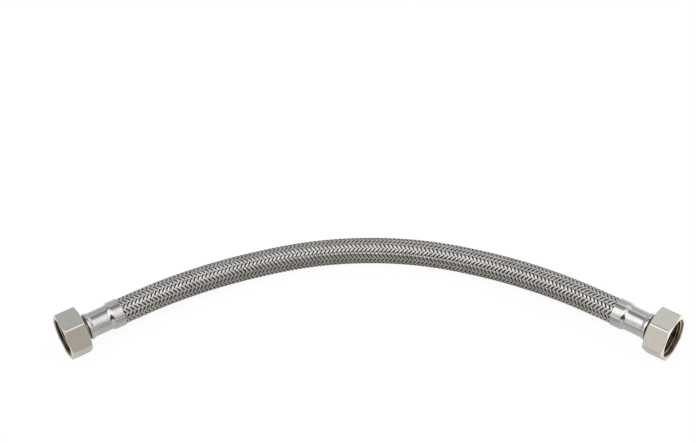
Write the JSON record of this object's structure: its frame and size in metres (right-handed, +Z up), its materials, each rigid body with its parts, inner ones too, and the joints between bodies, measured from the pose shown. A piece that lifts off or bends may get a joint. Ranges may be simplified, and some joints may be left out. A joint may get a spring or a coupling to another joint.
{
  "type": "flexible water supply hose",
  "caption": "Flexible water hose: a rubber tube in a braided steel sleeve, lying in a gentle arc, with a crimped ferrule and a swivelling hexagonal union nut at each end.",
  "frame": {"origin": "on the surface that the hose lies on, midway between the two end fittings", "axes": "+Z up from the surface; +X from the left fitting to the right one; +Y towards the middle of the hose's arc, away from the nuts' open faces"},
  "size_m": [0.3378, 0.0855, 0.024],
  "materials": {
    "nut_plating": "satin nickel plating on brass, drawn bar stock",
    "ferrule_steel": "polished stainless sheet, pressed and crimped",
    "nipple_brass": "turned, unplated inside",
    "gasket_rubber": "cut sheet, matt black",
    "liner_rubber": "extruded tube, semi-matt black",
    "braid_steel": "bright drawn stainless wire, braided two over two under"
  },
  "bodies": {
    "hose": {"inner_tube": "liner_rubber", "braid_sleeve": "braid_steel", "nipple_left": "nipple_brass", "nipple_right": "nipple_brass", "ferrule_left": "ferrule_steel", "ferrule_right": "ferrule_steel"},
    "seal_left": {"gasket_left": "gasket_rubber"},
    "seal_right": {"gasket_right": "gasket_rubber"},
    "union_nut_left": {"nut_left": "nut_plating"},
    "union_nut_right": {"nut_right": "nut_plating"}
  },
  "joints": [
    {"name": "nut_left_slide", "type": "slide", "parent": "hose", "child": "seal_left", "axis": [-0.841, -0.541, 0], "range_m": [0, 0.001]},
    {"name": "nut_left_swivel", "type": "hinge", "parent": "seal_left", "child": "union_nut_left", "pos_m": [-0.1621, -0.00705, 0.012], "axis": [-0.841, -0.541, 0], "continuous": true},
    {"name": "nut_right_slide", "type": "slide", "parent": "hose", "child": "seal_right", "axis": [0.841, -0.541, 0], "range_m": [0, 0.001]},
    {"name": "nut_right_swivel", "type": "hinge", "parent": "seal_right", "child": "union_nut_right", "pos_m": [0.1621, -0.00705, 0.012], "axis": [0.841, -0.541, 0], "continuous": true}
  ]
}
